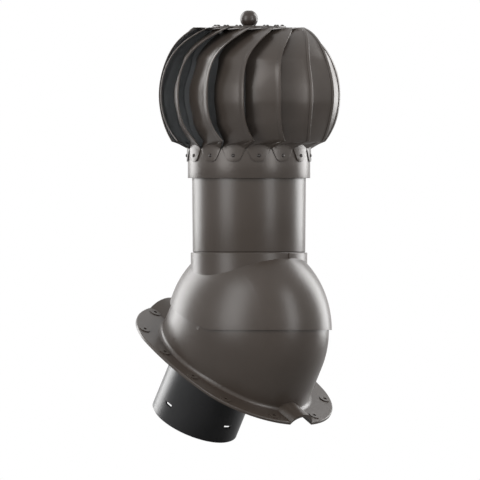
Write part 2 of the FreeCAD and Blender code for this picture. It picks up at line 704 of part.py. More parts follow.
def draw_ear(sketch):
    """A tongue with a round end about the tilt axis."""
    half, top = value("size.ear_half_width"), value("size.ear_top")
    z = FreeCAD.Vector(0, 0, 1)
    bottom = sketch.addGeometry(
        Part.ArcOfCircle(Part.Circle(FreeCAD.Vector(), z, half), math.pi, 2 * math.pi))
    corners = [(half, 0), (half, top), (-half, top), (-half, 0)]
    sides = []
    for (x1, y1), (x2, y2) in zip(corners, corners[1:]):
        line = Part.LineSegment(FreeCAD.Vector(x1, y1, 0), FreeCAD.Vector(x2, y2, 0))
        sides.append(sketch.addGeometry(line))
    right, across, left = sides
    sketch.addConstraint(Sketcher.Constraint("Tangent", bottom, 2, right, 1))
    sketch.addConstraint(Sketcher.Constraint("Coincident", right, 2, across, 1))
    sketch.addConstraint(Sketcher.Constraint("Coincident", across, 2, left, 1))
    sketch.addConstraint(Sketcher.Constraint("Tangent", left, 2, bottom, 1))
    sketch.addConstraint(Sketcher.Constraint("Coincident", bottom, 3, -1, 1))
    hold_radius(sketch, bottom, "size.ear_half_width")
    hold_point(sketch, across, 1, "size.ear_half_width", "size.ear_top")
    hold_point(sketch, across, 2, "-size.ear_half_width", "size.ear_top")


def make_neck_pipe():
    turned_body("neck_pipe", [
        ("size.neck_bore_radius", neck_bottom),
        ("size.neck_bottom_radius", neck_bottom),
        ("size.neck_top_radius", neck_top),
        ("size.neck_bore_radius", neck_top),
    ])


def make_bracket():
    """A hub plate with arms to upright tabs that lie against the neck's bore."""
    body = add_body("bearing_bracket")
    hub = add_sketch(body, "hub", "XY_Plane", bracket_floor)
    draw_circle(hub, "0", "0", "size.bracket_hub_radius")
    pad(body, hub, "size.bracket_sheet")
    half = "size.bracket_arm_width / 2"
    reach = "(size.neck_bore_radius - size.bracket_sheet)"
    arm = add_sketch(body, "arm", "XY_Plane", bracket_floor)
    draw_polygon(arm, [("-" + half, "0"), (half, "0"), (half, "-" + reach), ("-" + half, "-" + reach)])
    arm_pad = pad(body, arm, "size.bracket_sheet")
    tab = add_sketch(body, "tab", "XY_Plane", bracket_floor)
    draw_tab_plan(tab)
    tab_pad = pad(body, tab, "size.bracket_tab_height")
    doc.recompute()
    repeat_round(body, [arm_pad, tab_pad], bracket_arms)
    bore = add_sketch(body, "hub_bore", "XY_Plane", "%s - size.overrun" % bracket_floor)
    draw_circle(bore, "0", "0", "size.housing_radius")
    pocket(body, bore, "size.bracket_sheet + 2 * size.overrun", reverse=True)


def draw_tab_plan(sketch):
    """A short band along the neck's bore, as wide as the arm."""
    outer = value("size.neck_bore_radius")
    inner = value("size.neck_bore_radius - size.bracket_sheet")
    half = value("size.bracket_arm_width / 2")
    z = FreeCAD.Vector(0, 0, 1)
    down = 1.5 * math.pi
    spread_out, spread_in = math.asin(half / outer), math.asin(half / inner)
    far = sketch.addGeometry(
        Part.ArcOfCircle(Part.Circle(FreeCAD.Vector(), z, outer), down - spread_out, down + spread_out))
    near = sketch.addGeometry(
        Part.ArcOfCircle(Part.Circle(FreeCAD.Vector(), z, inner), down - spread_in, down + spread_in))
    depth_out, depth_in = outer * math.cos(spread_out), inner * math.cos(spread_in)
    ends = []
    for x in (-half, half):
        line = Part.LineSegment(FreeCAD.Vector(x, -depth_in, 0), FreeCAD.Vector(x, -depth_out, 0))
        ends.append(sketch.addGeometry(line))
    left, right = ends
    for first, first_end, second, second_end in (
            (left, 1, near, 1), (left, 2, far, 1), (right, 1, near, 2), (right, 2, far, 2)):
        sketch.addConstraint(Sketcher.Constraint("Coincident", first, first_end, second, second_end))
    for arc in (far, near):
        sketch.addConstraint(Sketcher.Constraint("Coincident", arc, 3, -1, 1))
    hold_radius(sketch, far, "size.neck_bore_radius")
    hold_radius(sketch, near, "size.neck_bore_radius - size.bracket_sheet")
    for line, sign in ((left, "-"), (right, "")):
        sketch.addConstraint(Sketcher.Constraint("Vertical", line))
        x = sign + "size.bracket_arm_width / 2"
        index = sketch.addConstraint(Sketcher.Constraint("DistanceX", -1, 1, line, 1, value(x)))
        sketch.setExpression("Constraints[%d]" % index, x)


def radial_rivets(label, count, height, radius, spans, first_angle):
    """Rivet ends that stand out from sheets about the axis: a span is its two distances from the axis."""
    body = add_body(label)
    body.Placement.Rotation = FreeCAD.Rotation(FreeCAD.Vector(0, 0, 1), value(first_angle))
    body.setExpression("Placement.Rotation.Angle", first_angle)
    made = []
    for number, (start, end) in enumerate(spans, 1):
        sketch = add_sketch(body, "%s_%d" % (label, number), "YZ_Plane", start)
        draw_circle(sketch, "0", height, radius)
        made.append(pad(body, sketch, "%s - %s" % (end, start)))
    doc.recompute()
    repeat_round(body, made, count)


def make_bracket_rivets():
    radius = "size.bracket_rivet_head_radius"
    # A flat head meets the hollow face of a tab at its own rim.
    inner = "sqrt((size.neck_bore_radius - size.bracket_sheet)^2 - %s^2)" % radius
    outer = "size.neck_top_radius"
    height = "size.bracket_rivet_head_height"
    radial_rivets("bracket_rivets", bracket_arms, bracket_middle, radius, [
        ("(%s - %s)" % (inner, height), inner),
        (outer, "(%s + %s)" % (outer, height)),
    ], "-90")


def make_housing():
    shoulder_low = lower_bearing_top
    shoulder_high = upper_bearing_bottom
    pocket_radius = "size.bearing_outer_radius"
    ring = "(size.bearing_outer_radius + size.circlip_groove)"
    low_groove = "(%s + size.circlip_groove)" % housing_bottom
    high_groove = "(%s - size.circlip_groove)" % housing_top
    flange_top = bracket_floor
    flange_bottom = "(%s - size.housing_flange_thickness)" % bracket_floor
    turned_body("bearing_housing", [
        (pocket_radius, housing_bottom),
        ("size.housing_radius", housing_bottom),
        ("size.housing_radius", flange_bottom),
        ("size.housing_flange_radius", flange_bottom),
        ("size.housing_flange_radius", flange_top),
        ("size.housing_radius", flange_top),
        ("size.housing_radius", housing_top),
        (pocket_radius, housing_top),
        (pocket_radius, high_groove),
        (ring, high_groove),
        (ring, "(%s - size.circlip_thickness)" % high_groove),
        (pocket_radius, "(%s - size.circlip_thickness)" % high_groove),
        (pocket_radius, shoulder_high),
        ("size.housing_shoulder_radius", shoulder_high),
        ("size.housing_shoulder_radius", shoulder_low),
        (pocket_radius, shoulder_low),
        (pocket_radius, "(%s + size.circlip_thickness)" % low_groove),
        (ring, "(%s + size.circlip_thickness)" % low_groove),
        (ring, low_groove),
        (pocket_radius, low_groove),
    ])


def make_circlips():
    """Two split rings that hold the bearings in their pockets."""
    body = add_body("bearing_circlips")
    starts = ("%s + size.circlip_groove" % housing_bottom,
              "%s - size.circlip_groove - size.circlip_thickness" % housing_top)
    for number, start in enumerate(starts, 1):
        ring = add_sketch(body, "circlip_%d" % number, "XY_Plane", start)
        draw_circle(ring, "0", "0", "size.bearing_outer_radius + size.circlip_groove")
        draw_circle(ring, "0", "0", "size.circlip_bore_radius")
        pad(body, ring, "size.circlip_thickness")
    split = add_sketch(body, "circlip_split", "XY_Plane", housing_bottom)
    half, far = "size.circlip_gap / 2", "size.housing_radius"
    draw_polygon(split, [("0", "0"), (far, "-(%s)" % half), (far, half)])
    pocket(body, split, "size.housing_above + size.housing_below", reverse=True)


def make_bearings():
    """Sealed ball bearings, each a fixed outer ring and an inner ring that turns with the shaft."""
    split = "(size.bearing_split_radius + size.bearing_gap)"
    for name, low, high in (("upper", upper_bearing_bottom, upper_bearing_top),
                            ("lower", lower_bearing_bottom, lower_bearing_top)):
        turned_body(name + "_outer_ring", [
            (split, low), ("size.bearing_outer_radius", low),
            ("size.bearing_outer_radius", high), (split, high),
        ])
        turned_body(name + "_inner_ring", [
            ("size.bearing_bore_radius", low), ("size.bearing_split_radius", low),
            ("size.bearing_split_radius", high), ("size.bearing_bore_radius", high),
        ])


# Rotor: shaft and its fastenings, collar, vanes, top plate, rivets and ball nut.

def make_shaft():
    turned_body("shaft", [
        ("0", shaft_bottom),
        ("size.bearing_bore_radius", shaft_bottom),
        ("size.bearing_bore_radius", upper_bearing_top),
        ("size.shaft_shoulder_radius", upper_bearing_top),
        ("size.shaft_shoulder_radius", shaft_shoulder_top),
        ("size.bearing_bore_radius", shaft_shoulder_top),
        ("size.bearing_bore_radius", shaft_top),
        ("0", shaft_top),
    ])
    turned_body("bearing_spacer", [
        ("size.bearing_bore_radius", lower_bearing_top),
        ("size.shaft_shoulder_radius", lower_bearing_top),
        ("size.shaft_shoulder_radius", upper_bearing_bottom),
        ("size.bearing_bore_radius", upper_bearing_bottom),
    ])
    nut_bottom = "(%s - size.lock_nut_height)" % lower_bearing_bottom
    make_nut("bearing_lock_nut", nut_bottom)
    make_nut("top_lock_nut", shaft_shoulder_top)
    turned_body("top_washer", [
        ("size.bearing_bore_radius", washer_bottom),
        ("size.washer_radius", washer_bottom),
        ("size.washer_radius", plate_bottom),
        ("size.bearing_bore_radius", plate_bottom),
    ])


def make_nut(label, bottom):
    """A hexagon nut about the shaft."""
    body = add_body(label)
    nut = add_sketch(body, label + "_plan", "XY_Plane", bottom)
    corners = []
    for i in range(6):
        angle = "%d" % (60 * i)
        corners.append(("size.lock_nut_radius * cos(%s)" % angle, "size.lock_nut_radius * sin(%s)" % angle))
    draw_polygon(nut, corners)
    draw_circle(nut, "0", "0", "size.bearing_bore_radius")
    pad(body, nut, "size.lock_nut_height")


def make_collar():
    turned_body("rotor_collar", [
        ("size.collar_radius - size.collar_sheet", collar_bottom),
        ("size.collar_radius", collar_bottom),
        ("size.collar_radius", collar_top),
        ("size.collar_radius - size.collar_sheet", collar_top),
    ])


def make_collar_rivets():
    seat = "(size.collar_radius + size.tab_fit + size.vane_sheet)"
    radial_rivets("collar_rivets", vane_count, rivet_height, "size.rivet_head_radius",
                  [(seat, "(%s + size.rivet_head_height)" % seat)], "size.first_rivet_angle")


def make_top_plate():
    turned_body("top_plate", [
        ("size.bearing_bore_radius + size.stud_fit", plate_bottom),
        ("size.plate_radius", plate_bottom),
        ("size.plate_radius", plate_top),
        ("size.bearing_bore_radius + size.stud_fit", plate_top),
    ])


def make_top_rivets():
    body = add_body("top_rivets")
    body.Placement.Rotation = FreeCAD.Rotation(FreeCAD.Vector(0, 0, 1), value("size.first_rivet_angle"))
    body.setExpression("Placement.Rotation.Angle", "size.first_rivet_angle")
    head = add_sketch(body, "top_rivet", "XY_Plane", plate_top)
    draw_circle(head, "size.top_rivet_circle", "0", "size.rivet_head_radius")
    made = pad(body, head, "size.rivet_head_height")
    doc.recompute()
    repeat_round(body, [made], vane_count)


def make_ball_nut():
    """A ball, flat where it sits on the plate and on its crown, with a blind threaded bore."""
    body = add_body("ball_nut")
    profile = add_sketch(body, "ball_profile", "XZ_Plane")
    radius = value("size.ball_radius")
    low, high = value(plate_top), value("%s + size.ball_flat_above" % plate_top)
    middle = value("%s + size.ball_centre_above" % plate_top)
    bore_radius = "size.bearing_bore_radius + size.stud_fit"
    bore, bore_top = value(bore_radius), value("%s + size.ball_bore_depth" % plate_top)
    start = math.asin((low - middle) / radius)
    end = math.asin((high - middle) / radius)
    z = FreeCAD.Vector(0, 0, 1)
    circle = Part.Circle(FreeCAD.Vector(0, middle, 0), z, radius)
    arc = profile.addGeometry(Part.ArcOfCircle(circle, start, end))
    path = [(radius * math.cos(end), high), (0, high), (0, bore_top), (bore, bore_top), (bore, low),
            (radius * math.cos(start), low)]
    lines = []
    for (x1, y1), (x2, y2) in zip(path, path[1:]):
        segment = Part.LineSegment(FreeCAD.Vector(x1, y1, 0), FreeCAD.Vector(x2, y2, 0))
        lines.append(profile.addGeometry(segment))
    chain = [arc] + lines
    for first, second in zip(chain, chain[1:]):
        profile.addConstraint(Sketcher.Constraint("Coincident", first, 2, second, 1))
    profile.addConstraint(Sketcher.Constraint("Coincident", lines[-1], 2, arc, 1))
    hold_point(profile, arc, 3, "0", "%s + size.ball_centre_above" % plate_top)
    hold_radius(profile, arc, "size.ball_radius")
    hold_point(profile, lines[0], 2, "0", "%s + size.ball_flat_above" % plate_top)
    hold_point(profile, lines[1], 2, "0", "%s + size.ball_bore_depth" % plate_top)
    hold_point(profile, lines[3], 1, bore_radius, "%s + size.ball_bore_depth" % plate_top)
    hold_point(profile, lines[3], 2, bore_radius, plate_top)
    for line in (lines[0], lines[4]):
        profile.addConstraint(Sketcher.Constraint("Horizontal", line))
    turn(body, profile)


# Vanes. Each is a strip of sheet of one width, in the frame of the rotor's equator with +X at its
# bottom rivet. Its free edge leads, its other edge is tucked behind the next vane's free edge.

pitch = 360 / vane_count
blade_steps = 16
foot_steps = 4


def polar(radius, degrees, height):
    angle = math.radians(degrees)
    return FreeCAD.Vector(radius * math.cos(angle), radius * math.sin(angle), height)


def edge_points(height):
    """The tucked and the free edge of the strip at one height."""
    arc = value("size.profile_radius")
    outer = value("size.profile_offset") + math.sqrt(arc ** 2 - height ** 2)
    if height > 0:
        twist = value("size.edge_twist_top") * (height / value("size.bend_height")) ** 4
    else:
        twist = value("size.edge_twist_bottom") * (height / value("size.blade_corner")) ** 3.4
    free_angle = value("size.edge_angle") + twist
    span = math.radians(min(free_angle - value("size.inner_angle"), widest_span(outer)))
    inner = outer * math.cos(span) - math.sqrt(value("size.strip_width") ** 2 - (outer * math.sin(span)) ** 2)
    return polar(inner, free_angle - math.degrees(span), height), polar(outer, free_angle, height)


def widest_span(outer):
    """The widest angle that the strip can span at this radius and still reach inward."""
    share = math.sin(math.radians(value("size.steepest_chord"))) * value("size.strip_width") / outer
    return math.degrees(math.asin(min(1, share)))


def bend_points():
    """The ends of the bend between the blade and the top tab, leaning so that vanes pass each other."""
    lean = math.radians(value("size.bend_lean"))
    half = value("size.bend_half_width")
    across = polar(half * math.cos(lean), pitch + 90, 0)
    lift = FreeCAD.Vector(0, 0, half * math.sin(lean))
    middle = polar(value("size.bend_radius"), pitch, value("size.bend_height")) - lift
    return middle - across - lift, middle + across + lift


def blade_sections():
    """Rows of the bent strip, each its tucked and free edge and then the same points a sheet further in."""
    corner, top = value("size.blade_corner"), value("size.bend_height")
    rows = [edge_points(corner + (top - corner) * step / blade_steps) for step in range(blade_steps)]
    rows.append(bend_points())
    sections = []
    for number, (inner, outer) in enumerate(rows):
        before, after = rows[max(number - 1, 0)], rows[min(number + 1, blade_steps)]
        along = after[0] + after[1] - before[0] - before[1]
        inward = along.cross(outer - inner).normalize() * value("size.vane_sheet")
        sections.append([inner, outer, outer + inward, inner + inward])
    return sections


def flat_loft(sections):
    """A solid through like sections in flat triangles, because smooth twisted sheets mesh very finely.

    A section runs along one side of the sheet and back along the other. Both sides are split along the
    same diagonals, so that the sheet keeps its thickness where it is twisted.
    """
    count = len(sections[0])
    faces = [flat_face(sections[0]), flat_face(sections[-1])]
    for low, high in zip(sections, sections[1:]):
        for i in range(count):
            a, b, c, d = low[i], low[i - 1], high[i - 1], high[i]
            if i < count / 2:
                faces += [flat_face([a, b, d]), flat_face([b, c, d])]
            else:
                faces += [flat_face([a, b, c]), flat_face([a, c, d])]
    solid = Part.Solid(Part.Shell(faces))
    if solid.Volume < 0:
        solid.reverse()
    return solid


def flat_face(points):
    return Part.Face(Part.makePolygon(points + points[:1]))


def make_foot(corner_section):
    """The sheet between the collar's round edge and the straight first section of the blade."""
    outside = value("size.collar_radius + size.tab_fit + size.vane_sheet")
    inside = value("size.collar_radius + size.tab_fit")
    half, bottom = value("size.tab_half_angle"), value("size.blade_bottom")
    shares = [step / foot_steps for step in range(foot_steps + 1)]
    angles = [half * (2 * share - 1) for share in shares]
    low = [polar(outside, angle, bottom) for angle in angles]
    low += [polar(inside, angle, bottom) for angle in reversed(angles)]
    inner, outer, outer_back, inner_back = corner_section
    high = [inner + (outer - inner) * share for share in shares]
    high += [outer_back + (inner_back - outer_back) * share for share in shares]
    return flat_loft([low, high])


def make_top_tab():
    """Flat under the plate, then leaning and widening to the bend."""
    top = value("size.bend_height")
    narrow = value("size.top_tab_half_width")
    tip = value("size.top_tab_tip_radius")
    tip_width = value("size.top_tab_tip_half_width")
    lean = value("size.bend_lean")
    half = value("size.bend_half_width")
    bend_height = top - half * math.sin(math.radians(lean))
    stations = [
        (tip, tip_width, 0, top),
        (tip + narrow - tip_width, narrow, 0, top),
        (value("size.top_tab_flat_end"), narrow, 0, top),
        (value("size.top_tab_flare_start"), narrow, lean / 2, (top + bend_height) / 2),
        (value("size.bend_radius"), half, lean, bend_height),
    ]
    sections = []
    drop = FreeCAD.Vector(0, 0, -value("size.vane_sheet"))
    for radius, width, turned, height in stations:
        across = polar(width * math.cos(math.radians(turned)), pitch + 90, 0)
        lift = FreeCAD.Vector(0, 0, width * math.sin(math.radians(turned)))
        middle = polar(radius, pitch, height)
        low, high = middle - across - lift, middle + across + lift
        sections.append([low, high, high + drop, low + drop])
    return flat_loft(sections)


def make_bottom_tab():
    """Half a hexagon against the collar's outside."""
    inside = value("size.collar_radius + size.tab_fit")
    outside = inside + value("size.vane_sheet")
    top, low = value("size.blade_bottom"), value("size.tab_bottom")
    half = outside * math.sin(math.radians(value("size.tab_half_angle")))
    tip = value("size.tab_tip_half_width")
    knee = top - value("size.tab_straight")
    plan = [(-half, top), (half, top), (half, knee), (tip, low), (-tip, low), (-half, knee), (-half, top)]
    start = value("size.tab_block_start")
    face = Part.Face(Part.makePolygon([FreeCAD.Vector(start, y, z) for y, z in plan]))
    block = face.extrude(FreeCAD.Vector(outside, 0, 0))
    axis_foot = FreeCAD.Vector(0, 0, low)
    disc = Part.makeCylinder(outside, top - low, axis_foot)
    ring = disc.cut(Part.makeCylinder(inside, top - low, axis_foot))
    return ring.common(block)


def vane_shape():
    sections = blade_sections()
    pieces = [make_foot(sections[0]), make_top_tab(), make_bottom_tab()]
    return flat_loft(sections).fuse(pieces).removeSplitter()


def make_vanes():
    shape = vane_shape()
    for number in range(vane_count):
        vane = doc.addObject("Part::Feature", "vane_%02d" % (number + 1))
        vane.Label = vane.Name
        vane.Shape = shape
        angle = value("size.first_rivet_angle") + number * pitch
        place = FreeCAD.Vector(value(tilt_x), 0, value("%s + %s" % (tilt_z, equator)))
        vane.Placement = FreeCAD.Placement(place, FreeCAD.Rotation(FreeCAD.Vector(0, 0, 1), angle))
        sub_parts.append(vane)


makers = [
    make_base_shell, make_gasket, make_spigot,
    make_hood_shell, make_neck_pipe, make_bracket, make_bracket_rivets,
    make_housing, make_circlips, make_bearings,
    make_shaft, make_collar, make_vanes, make_collar_rivets, make_top_plate, make_top_rivets, make_ball_nut,
]
for make in makers:
    make()
    doc.recompute()

for item in doc.Objects:
    if "Invalid" in item.State or "Error" in item.State:
        raise RuntimeError("%s failed: %s" % (item.Name, item.State))
os.makedirs("parts", exist_ok=True)
for part in sub_parts:
    if part.Shape.isNull() or not part.Shape.isValid() or not part.Shape.Solids:
        raise RuntimeError("%s has no sound solid" % part.Label)
    part.Shape.exportStep("parts/%s.step" % part.Label)
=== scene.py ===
import json
import math

import bmesh
import bpy
from mathutils import Matrix, Vector


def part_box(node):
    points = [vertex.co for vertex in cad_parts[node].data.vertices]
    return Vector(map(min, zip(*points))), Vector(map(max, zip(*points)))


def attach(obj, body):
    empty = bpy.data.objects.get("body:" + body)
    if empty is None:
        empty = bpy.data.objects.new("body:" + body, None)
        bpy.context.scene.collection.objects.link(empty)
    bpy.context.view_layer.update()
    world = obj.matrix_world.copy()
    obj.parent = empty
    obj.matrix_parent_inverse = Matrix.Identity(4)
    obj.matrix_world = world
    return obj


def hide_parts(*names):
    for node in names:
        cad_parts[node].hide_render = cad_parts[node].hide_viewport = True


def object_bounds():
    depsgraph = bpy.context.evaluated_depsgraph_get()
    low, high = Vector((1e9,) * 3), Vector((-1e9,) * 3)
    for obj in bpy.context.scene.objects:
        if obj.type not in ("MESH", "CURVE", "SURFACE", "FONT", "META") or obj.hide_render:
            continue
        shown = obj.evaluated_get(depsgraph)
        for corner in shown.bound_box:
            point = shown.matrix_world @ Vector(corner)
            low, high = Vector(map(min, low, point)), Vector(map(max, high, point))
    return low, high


# Roof turbine ventilator: a ring of twisted vanes on a neck, over a tilting dome on a roof flange.
# Everything is in metres, in the CAD model's frame: +X down the slope, +Z up the turbine's axis.

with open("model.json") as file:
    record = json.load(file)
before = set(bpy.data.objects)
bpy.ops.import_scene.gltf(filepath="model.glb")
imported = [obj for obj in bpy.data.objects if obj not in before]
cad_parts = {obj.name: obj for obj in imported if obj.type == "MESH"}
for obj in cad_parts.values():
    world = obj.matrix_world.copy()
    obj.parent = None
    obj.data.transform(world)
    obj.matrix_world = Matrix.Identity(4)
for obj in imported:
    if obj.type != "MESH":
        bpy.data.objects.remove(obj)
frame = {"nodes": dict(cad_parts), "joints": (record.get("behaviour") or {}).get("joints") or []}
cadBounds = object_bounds()
print("frame loaded")

mm = 0.001
joints = {joint["name"]: joint for joint in frame["joints"]}
axisX = joints["rotor_spin"]["pos_m"][0]
vaneNames = sorted(name for name in frame["nodes"] if name.startswith("vane_"))
vaneStep = 2 * math.pi / len(vaneNames)


# Camera and lights

camera = {
    "azimuth": 46.6,          # degrees from the -Y side towards +X
    "right": 7.7 * mm,        # the aim, along the picture from the flange's centre
    "height": 154.9 * mm,
    "width": 587.3 * mm,      # what the picture's width takes in
    "distance": 3.0,
    "seesTo": 20.0,
}


def addCamera():
    turn = math.radians(camera["azimuth"])
    toRight = Vector((math.cos(turn), math.sin(turn), 0))
    toCamera = Vector((math.sin(turn), -math.cos(turn), 0))
    data = bpy.data.cameras.new("studioCamera")
    data.type = "ORTHO"
    data.ortho_scale = camera["width"]
    data.clip_end = camera["seesTo"]
    cameraObject = bpy.data.objects.new("studioCamera", data)
    bpy.context.scene.collection.objects.link(cameraObject)
    aim = toRight * camera["right"] + Vector((0, 0, camera["height"]))
    cameraObject.location = aim + toCamera * camera["distance"]
    cameraObject.rotation_euler = (math.pi / 2, 0, turn)
    bpy.context.scene.camera = cameraObject
    return toRight, toCamera


# Each softbox: how far round from the camera (degrees, + is to the picture's right), height, distance,
# width and height of the panel, watts. Every panel stays clear of the floor.
lampAim = 0.2        # height that the softboxes point at and rise from
softboxes = {
    "keyLeft": {"round": -46, "rise": 0.48, "away": 1.5, "size": (0.7, 1.5), "power": 15.5},
    "keyRight": {"round": 43, "rise": 0.50, "away": 1.6, "size": (0.5, 1.5), "power": 12},
    "rimLeft": {"round": -128, "rise": 0.46, "away": 1.4, "size": (0.8, 1.5), "power": 21},
    "rimRight": {"round": 125, "rise": 0.46, "away": 1.4, "size": (0.8, 1.5), "power": 25},
    "top": {"round": 0, "rise": 1.9, "away": 0.15, "size": (1.1, 1.1), "power": 7},
}


def addLights(toRight, toCamera):
    middle = Vector((axisX, 0, lampAim))
    for name, box in softboxes.items():
        turn = math.radians(box["round"])
        place = middle + (toCamera * math.cos(turn) + toRight * math.sin(turn)) * box["away"]
        place.z += box["rise"]
        data = bpy.data.lights.new(name, "AREA")
        data.shape = "RECTANGLE"
        data.size, data.size_y = box["size"]
        data.energy = box["power"]
        lamp = bpy.data.objects.new(name, data)
        lamp.location = place
        lamp.rotation_euler = (middle - place).to_track_quat("-Z", "Y").to_euler()
        lamp.visible_glossy = name != "top"     # the top light only fills
        bpy.context.scene.collection.objects.link(lamp)


# Node helpers

def startMaterial(name):
    material = bpy.data.materials.new(name)
    material.use_nodes = True
    tree = material.node_tree
    shader = tree.nodes["Principled BSDF"]
    coordinates = tree.nodes.new("ShaderNodeTexCoord")
    return material, tree, shader, coordinates.outputs["Object"]


def addNoise(tree, place, scale, detail=3.0, roughness=0.5):
    noise = tree.nodes.new("ShaderNodeTexNoise")
    noise.inputs["Scale"].default_value = scale
    noise.inputs["Detail"].default_value = detail
    noise.inputs["Roughness"].default_value = roughness
    tree.links.new(place, noise.inputs["Vector"])
    return noise.outputs["Fac"]


def addRamp(tree, factor, low, high, start=0.35, end=0.65):
    ramp = tree.nodes.new("ShaderNodeValToRGB")
    ramp.color_ramp.elements[0].position = start
    ramp.color_ramp.elements[0].color = (*low, 1)
    ramp.color_ramp.elements[1].position = end
    ramp.color_ramp.elements[1].color = (*high, 1)
    tree.links.new(factor, ramp.inputs["Fac"])
    return ramp.outputs["Color"]


def addRange(tree, factor, low, high):
    spread = tree.nodes.new("ShaderNodeMapRange")
    spread.inputs["To Min"].default_value = low
    spread.inputs["To Max"].default_value = high
    tree.links.new(factor, spread.inputs["Value"])
    return spread.outputs["Result"]


def addBump(tree, shader, height, distance, strength=1.0):
    bump = tree.nodes.new("ShaderNodeBump")
    bump.inputs["Strength"].default_value = strength
    bump.inputs["Distance"].default_value = distance
    tree.links.new(height, bump.inputs["Height"])
    tree.links.new(bump.outputs["Normal"], shader.inputs["Normal"])


grainDetail = 2.0


def surfaceMaterial(name, look):
    material, tree, shader, place = startMaterial(name)
    patches = addNoise(tree, place, look["patchScale"])
    tree.links.new(addRamp(tree, patches, look["dark"], look["light"]), shader.inputs["Base Color"])
    tree.links.new(addRange(tree, patches, *look["roughness"]), shader.inputs["Roughness"])
    grain = addNoise(tree, place, look["grainScale"], grainDetail)
    addBump(tree, shader, grain, look["grainDepth"])
    shader.inputs["Metallic"].default_value = look["metallic"]
    shader.inputs["Specular IOR Level"].default_value = look["specular"]
    return material


# Colours are linear. Patch and grain scales are waves per metre, grain depth is in metres.
finishes = {
    "hoodPaint": {
        "dark": (0.044, 0.034, 0.027), "light": (0.050, 0.039, 0.032), "roughness": (0.29, 0.34),
        "patchScale": 18, "grainScale": 2600, "grainDepth": 0.00003, "metallic": 0.0, "specular": 0.4,
    },
    "vanePaint": {
        "dark": (0.050, 0.040, 0.033), "light": (0.058, 0.047, 0.040), "roughness": (0.27, 0.33),
        "patchScale": 22, "grainScale": 3200, "grainDepth": 0.00002, "metallic": 0.15, "specular": 0.45,
    },
    # The vanes' inner faces: the grey back coat of coated sheet, made lighter as painted light, since little
    # lamp light reaches inside the ring.
    "backCoatAndPaintedLight": {
        "dark": (0.150, 0.156, 0.160), "light": (0.175, 0.182, 0.187), "roughness": (0.36, 0.44),
        "patchScale": 22, "grainScale": 3200, "grainDepth": 0.00002, "metallic": 0.0, "specular": 0.45,
    },
    "ballPaint": {
        "dark": (0.030, 0.022, 0.018), "light": (0.038, 0.028, 0.023), "roughness": (0.28, 0.36),
        "patchScale": 60, "grainScale": 3200, "grainDepth": 0.00002, "metallic": 0.0, "specular": 0.4,
    },
    "rivetPaint": {
        "dark": (0.020, 0.016, 0.014), "light": (0.030, 0.024, 0.021), "roughness": (0.28, 0.36),
        "patchScale": 150, "grainScale": 3600, "grainDepth": 0.00002, "metallic": 0.2, "specular": 0.5,
    },
    "spigotPlastic": {
        "dark": (0.008, 0.008, 0.009), "light": (0.012, 0.012, 0.013), "roughness": (0.30, 0.36),
        "patchScale": 25, "grainScale": 2200, "grainDepth": 0.00005, "metallic": 0.0, "specular": 0.5,
    },
    "rubber": {
        "dark": (0.012, 0.012, 0.012), "light": (0.020, 0.020, 0.020), "roughness": (0.70, 0.85),
        "patchScale": 60, "grainScale": 1500, "grainDepth": 0.00008, "metallic": 0.0, "specular": 0.4,
    },
    "zincSteel": {
        "dark": (0.33, 0.33, 0.32), "light": (0.45, 0.45, 0.44), "roughness": (0.30, 0.48),
        "patchScale": 90, "grainScale": 1200, "grainDepth": 0.00003, "metallic": 1.0, "specular": 0.5,
    },
    "brightSteel": {
        "dark": (0.50, 0.50, 0.51), "light": (0.60, 0.60, 0.61), "roughness": (0.20, 0.30),
        "patchScale": 120, "grainScale": 2000, "grainDepth": 0.00002, "metallic": 1.0, "specular": 0.5,
    },
}
paints = {name: surfaceMaterial(name, look) for name, look in finishes.items()}
print("materials made")


studio = {
    "floorSize": 6.0,
    "floorColour": (0.50, 0.50, 0.50),   # as the camera sees it, with the glow added
    "floorGlow": 0.48,
    "floorBounce": (0.35, 0.35, 0.35),   # as the object is lit from below
    "ambient": 0.35,
    "background": 1.0,
    "floorRoughness": 0.9,
    "floorGap": 0.2 * mm,
}


def floorMaterial():
    material = bpy.data.materials.new("paleFloor")
    material.use_nodes = True
    tree = material.node_tree
    shader = tree.nodes["Principled BSDF"]
    rays = tree.nodes.new("ShaderNodeLightPath")
    bounce, seen = studio["floorBounce"], studio["floorColour"]
    colour = addRamp(tree, rays.outputs["Is Camera Ray"], bounce, seen, 0.0, 1.0)
    tree.links.new(colour, shader.inputs["Base Color"])
    shader.inputs["Emission Color"].default_value = (1, 1, 1, 1)
    glow = addRange(tree, rays.outputs["Is Camera Ray"], 0, studio["floorGlow"])
    tree.links.new(glow, shader.inputs["Emission Strength"])
    shader.inputs["Roughness"].default_value = studio["floorRoughness"]
    return material


def addFloor():
    mesh = bmesh.new()
    bmesh.ops.create_grid(mesh, x_segments=1, y_segments=1, size=studio["floorSize"] / 2)
    data = bpy.data.meshes.new("floor")
    mesh.to_mesh(data)
    mesh.free()
    data.transform(Matrix.Translation((0, 0, cadBounds[0][2] - studio["floorGap"])))
    floor = bpy.data.objects.new("floor", data)
    data.materials.append(floorMaterial())
    bpy.context.scene.collection.objects.link(floor)


